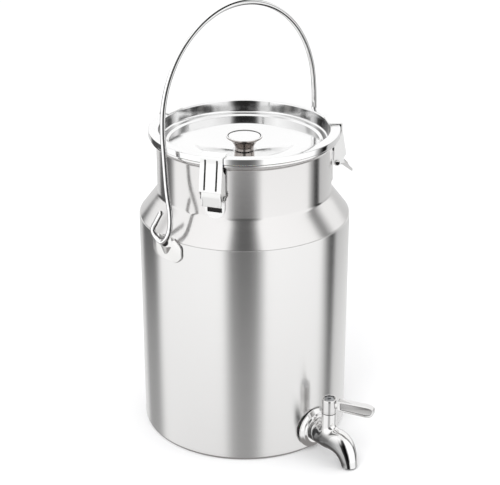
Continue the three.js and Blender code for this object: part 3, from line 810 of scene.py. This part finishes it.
def tube(name, line):
    """Round bar of varying radius along (distance, height, radius) points."""
    rings = []
    for k, (y, z, r) in enumerate(line):
        a, b = line[max(k - 1, 0)], line[min(k + 1, len(line) - 1)]
        d = Vector((0, -(b[0] - a[0]), b[1] - a[1])).normalized()
        side = Vector((1, 0, 0))
        rings.append(ring_points(Vector((0, -y, z)), side, d.cross(side), r, 48))
    return swept(name, rings, 50)


# Spout and duct, as (distance from the can axis, height, radius).
SPOUT = [(118, 21.4, 10.5), (124, 21.2, 10.6), (131, 21.2, 10.8), (138, 21.8, 11.4), (147, 24, 12.4),
         (155, 24.2, 12.8), (161.5, 21.2, 12), (166, 16, 10.8), (168.6, 10.4, 9.8), (170.2, 4.6, 8.9),
         (171.2, -4, 8.6)]
DUCT = [(132, 21.6, 5), (143, 23.4, 6), (151, 24, 7), (158, 22.2, 7.4), (163.6, 17.6, 7.2), (167.4, 10.6, 7),
        (170.4, 1.6, 7), (171.2, -4, 7)]


def casting_depth(points, centres, radii):
    """How far outside the flowing cast shape each (x, distance, height) point lies."""
    spout = np.min(np.linalg.norm(points[:, None] - centres[None], axis=2) - radii[None], axis=1)
    post = np.maximum(np.hypot(points[:, 0], points[:, 1] - TAP_D) - TAP_HUB_R, POST_FOOT - points[:, 2])
    share = np.clip(0.5 + 0.5 * (post - spout) / FILLET, 0, 1)
    return post * (1 - share) + spout * share - FILLET * share * (1 - share)


def make_casting():
    """Spout and post grown into each other with a fillet, on a fine skin."""
    line = catmull(SPOUT, 12)
    centres, radii = np.array([(0, p[0], p[1]) for p in line]), np.array([p[2] for p in line])
    body = combine(tube("tap_casting", line),
                   [rod("post", TAP_HUB_R, (0, -TAP_D, 24), (0, -TAP_D, 60), 64)])
    m = body.modifiers.new("skin", "REMESH")
    m.mode, m.voxel_size = "VOXEL", SKIN * MM
    bake_modifiers(body)
    mesh = body.data
    flat = np.empty(len(mesh.vertices) * 3)
    mesh.vertices.foreach_get("co", flat)
    points = flat.reshape(-1, 3) / MM
    points[:, 1] *= -1
    for _ in range(4):
        depth = casting_depth(points, centres, radii)
        slope = np.column_stack([casting_depth(points + step, centres, radii) - depth for step in np.eye(3) * 0.05])
        slope /= np.maximum(np.linalg.norm(slope, axis=1, keepdims=True), 1e-9)
        points -= slope * np.clip(depth, -1, 1)[:, None]
    points[:, 1] *= -1
    mesh.vertices.foreach_set("co", (points * MM).ravel())
    mesh.update()
    return body


def make_tap_body():
    """Casting cut to length, with its collar and tail, the seat for the plug and the duct through it."""
    body = make_casting()
    top = flat_prism("top", circle((0, -TAP_D), 14, 48), 54, 75)
    foot = flat_prism("foot", [(-20, -190), (20, -190), (20, -110), (-20, -110)], -20, 2.2)
    back = flat_prism("back", [(-20, -122.6), (20, -122.6), (20, -100), (-20, -100)], -20, 60)
    combine(body, [top, foot, back], "DIFFERENCE")
    collar = tap_ring("collar", rounded([(0, 122.2), (13.4, 122.2, 0.6), (13.4, 125.4, 0.8), (0, 125.4)], 5), 64)
    tail = rod("tail", TAP_TAIL_R, (0, -99, TAP_Z), (0, -124, TAP_Z), 48)
    combine(body, [collar, tail])
    inlet = rod("inlet", 4.6, (0, -97, TAP_Z), (0, -136, TAP_Z), 40)
    seat = rod("seat", 6, (0, -TAP_D, 17.4), (0, -TAP_D, 60), 48)
    combine(body, [tube("duct", catmull(DUCT, 6)), inlet, seat], "DIFFERENCE")
    clean(body, 50)
    finish_piece(body, CAST_STEEL_PAINTED_REFLECTIONS, "can", "polished_steel", "tap_body")


def make_tap_fittings():
    """Wall flange, a seal on each side of the wall, and the nut inside the can."""
    flange = rounded([(TAP_HOLE_R, 118), (15.6, 118), (20.6, 117.1), (21.7, 115.7), (23, 115.7, 0.5),
                      (23, 117.2, 0.8), (19.4, 119, 4), (18, 119.4, 0.8), (16.6, 121.9, 1.4),
                      (TAP_HOLE_R, 121.9)], 6, True)
    finish_piece(tap_ring("tap_flange", flange), POLISHED, "can", "polished_steel", "tap_escutcheon")
    for name, node, r, d0, d1 in (("seal_outside", "tap_outer_seal", 15, 115.4, 117.6),
                                  ("seal_inside", "tap_inner_seal", 14, 109.8, 112.4)):
        ring = rounded([(TAP_HOLE_R, d0), (r, d0, 0.5), (r, d1, 0.5), (TAP_HOLE_R, d1)], 4, True)
        finish_piece(tap_ring(name, ring), SILICONE, "can", "silicone", node)
    nut = prism("back_nut", circle((0, 0), 15, 6), 103, 109.4, lambda u, v, w: (u, -w, TAP_Z + v),
                [circle((0, 0), 8.4, 40)[::-1]])
    finish_piece(soften(nut, 0.6), PLAIN, "can", "dark_steel", "tap_nut")


def swing(obj):
    """From the handle's own frame, where it points along -Y, to its place on the tap."""
    obj.data.transform(Matrix.Translation((0, -TAP_D * MM, 0)) @ Matrix.Rotation(math.radians(HANDLE_ANGLE), 4, "Z"))
    return obj


def handle_prism(name, poly, x0, x1):
    """(distance along the handle, height) polygon run across it."""
    return prism(name, poly, x0, x1, lambda u, v, w: (w, -u, v))


def make_tap_handle():
    """Paddle with a sunk panel on each side, on its hub, with the plug below and the screw above."""
    hub = turned("tap_lever", rounded([(0, 54.4), (TAP_HUB_R, 54.4, 0.5), (TAP_HUB_R, 71.4, 0.8), (6.6, 71.4, 0.3),
                                       (6.6, 68.4), (0, 68.4)], 5), 96)
    outline = rounded([(10.2, 71.4, 1.5), (42, 71.8, 8), (50.8, 70, 5), (50.8, 60.4, 5), (42, 58.4, 8),
                       (10.2, 59.4, 1.5)], 8, True)
    panel = rounded([(13.4, 69.6, 1.4), (42, 69.9, 6), (48.8, 68.2, 3.6), (48.8, 62.2, 3.6), (42, 60.3, 6),
                     (13.4, 61.2, 1.4)], 8, True)
    paddle = soften(handle_prism("paddle", outline, -3.2, 3.2), 0.6, 4)
    neck = soften(handle_prism("neck", [(6, 61.6), (15, 61.8), (15, 67.4), (6, 67.6)], -2.6, 2.6), 0.6, 3)
    combine(hub, [neck, paddle])
    cuts = [handle_prism("panel", panel, s * 2.4, s * 5) for s in (-1, 1)]
    cuts.append(rod("bore", 3.3, (0, 0, 50), (0, 0, 70)))
    combine(hub, cuts, "DIFFERENCE")
    finish_piece(soften(hub, 0.25, 2), LEVER_STEEL, "tap_handle", "polished_steel", "tap_handle")

    def rim_shade(c, n):
        """The top edge where it turns away, and the walls of the panels."""
        wall = 2.35 < abs(c.x) < 3.25 and abs(n.x) < 0.8 and 59.8 < c.z < 70.3
        return -49.2 < c.y < -13 and ((n.z > 0.25 and n.x > 0.3) or wall)

    # The sunk panels: a rougher satin finish, and a darker base colour that is painted shade.
    darken(hub, PANEL_SATIN_PAINTED_SHADE, lambda c, n: c.y < -10 and abs(c.x) < 2.7 and abs(n.x) > 0.8)
    darken(hub, SHADE, rim_shade)
    swing(hub)

    plug_line = [(0, 18), (5.7, 18, 0.5), (5.7, 53.6, 0.4), (3, 53.6), (3, 66.6, 0.4), (0, 66.6)]
    plug = turned("tap_cone", rounded(plug_line, 4), 64)
    cross = rod("cross", 3.6, (0, -8, TAP_Z - 0.5), (0, 8, TAP_Z - 0.5))
    finish_piece(swing(combine(plug, [cross], "DIFFERENCE")), PLAIN, "tap_handle", "dark_steel", "tap_plug")
    screw_line = [(0, 66.9), (3, 66.9), (3, 68.8), (5.2, 68.8, 0.2), (5.2, 70.7, 0.6), (0, 70.7)]
    screw = turned("tap_cap_screw", rounded(screw_line, 4), 64)
    socket = rod("socket", 2, (0, 0, 69.3), (0, 0, 72), 6)
    finish_piece(swing(combine(screw, [socket], "DIFFERENCE")), PLAIN, "tap_handle", "dark_steel", "tap_screw")


# ---- studio ---------------------------------------------------------------------------------
def make_floor():
    """White matt disc that isn't mirrored in the steel."""
    mesh = bpy.data.meshes.new("floor")
    bm = bmesh.new()
    bmesh.ops.create_circle(bm, cap_ends=True, segments=96, radius=6)
    bm.to_mesh(mesh)
    bm.free()
    floor = bpy.data.objects.new("floor", mesh)
    bpy.context.scene.collection.objects.link(floor)
    m, _, bsdf = new_material("floor")
    bsdf.inputs["Base Color"].default_value = (0.93, 0.93, 0.935, 1)
    bsdf.inputs["Roughness"].default_value = 0.9
    mesh.materials.append(m)
    floor.visible_glossy = False


# Brightness all round at the level of the can: (degrees from the camera towards its right, grey).
STRIPS = [(-180, 0.9), (-148, 0.92), (-140, 0.42), (-113, 0.45), (-102, 1.06), (-23, 1.08), (-13, 0.6), (-5, 0.5),
          (6, 0.5), (12, 0.6), (23, 1.08), (90, 1.06), (101, 0.6), (108, 0.14), (113, 0.1), (115, 0.85), (140, 0.9)]


def strip_ramp(tree, share):
    """The strips over a full turn, with the ends of the ramp joined up."""
    facing = 270 + CAMERA_AZIMUTH
    spots = sorted((((facing + a + 180) % 360) / 360, v) for a, v in STRIPS)
    (first, v0), (last, v1) = spots[0], spots[-1]
    wrap = v1 + (v0 - v1) * (1 - last) / (first + 1 - last)
    return grey_ramp(tree, share, (wrap, wrap, wrap, 1), spots)


def make_world():
    """Bright studio with dark upright strips, paler low down, over a dark underside.

    The top and the backdrop behind the can are plain, and the camera itself sees white."""
    world = bpy.data.worlds.new("studio")
    bpy.context.scene.world = world
    world.use_nodes = True
    t = world.node_tree
    t.nodes.clear()
    where = add_node(t, "TexCoord", {}).outputs["Generated"]
    axes = add_node(t, "SeparateXYZ", {"Vector": where}).outputs
    up = axes["Z"]
    angle = add_node(t, "Math", {0: axes["Y"], 1: axes["X"]}, operation="ARCTAN2").outputs[0]
    strips = strip_ramp(t, remap(t, angle, (-math.pi, math.pi)))
    depth = remap(t, smooth_share(t, up, (-0.4, -0.37)), (0.0, 1.0), (1.0, 3.0))
    color = add_node(t, "Gamma", {"Color": strips, "Gamma": depth}).outputs["Color"]
    color = blend(t, smooth_share(t, up, (-0.57, -0.75)), color, (0.3, 0.29, 0.285, 1))
    away = math.radians(CAMERA_AZIMUTH)
    behind = smooth_share(t, along(t, where, (-math.sin(away), math.cos(away), 0)), (0.1, 0.45))
    backdrop = add_node(t, "Math", {0: behind, 1: smooth_share(t, up, (0.02, 0.15))}, operation="MULTIPLY")
    color = blend(t, backdrop.outputs[0], color, (1.12, 1.12, 1.12, 1))
    color = blend(t, smooth_share(t, up, (0.86, 0.97)), color, (1.1, 1.1, 1.1, 1))
    camera_ray = add_node(t, "LightPath", {}).outputs["Is Camera Ray"]
    color = blend(t, camera_ray, color, (1.0, 1.0, 1.0, 1))
    light = add_node(t, "Background", {"Color": color}, {"Strength": 1.0})
    add_node(t, "OutputWorld", {"Surface": light.outputs["Background"]})


def make_lights():
    """Two soft lamps aimed at the can; the steel doesn't mirror them."""
    for name, where, size, power in (("key", (-1.6, -0.9, 2.2), 1.6, 26), ("fill", (1.7, -1.4, 1.9), 1.8, 12)):
        data = bpy.data.lights.new(name, "AREA")
        data.size, data.energy = size, power
        lamp = bpy.data.objects.new(name, data)
        lamp.location = where
        lamp.rotation_euler = (Vector((0, 0, 0.2)) - Vector(where)).to_track_quat("-Z", "Y").to_euler()
        lamp.visible_glossy = False
        bpy.context.scene.collection.objects.link(lamp)


def make_camera():
    """Camera fitted to the photograph."""
    data = bpy.data.cameras.new("camera")
    data.sensor_width, data.lens = 36, CAMERA_LENS
    cam = bpy.data.objects.new("camera", data)
    bpy.context.scene.collection.objects.link(cam)
    a = math.radians(CAMERA_AZIMUTH)
    cam.location = (math.sin(a) * CAMERA_DISTANCE, -math.cos(a) * CAMERA_DISTANCE, CAMERA_HEIGHT)
    cam.rotation_euler = (math.radians(90 - CAMERA_PITCH), 0, a - math.radians(CAMERA_YAW))
    bpy.context.scene.camera = cam


make_camera()
make_can()
make_ear(1)
make_ear(-1)
make_bail()
make_lid()
for name, at in LATCHES.items():
    make_latch_base(name, at)
    make_latch_lever(name, at)
    make_latch_hook(name, at)
    make_latch_pins(name, at)
make_tap_body()
make_tap_fittings()
make_tap_handle()
make_floor()
make_world()
make_lights()
bpy.context.scene.view_settings.view_transform = "Standard"
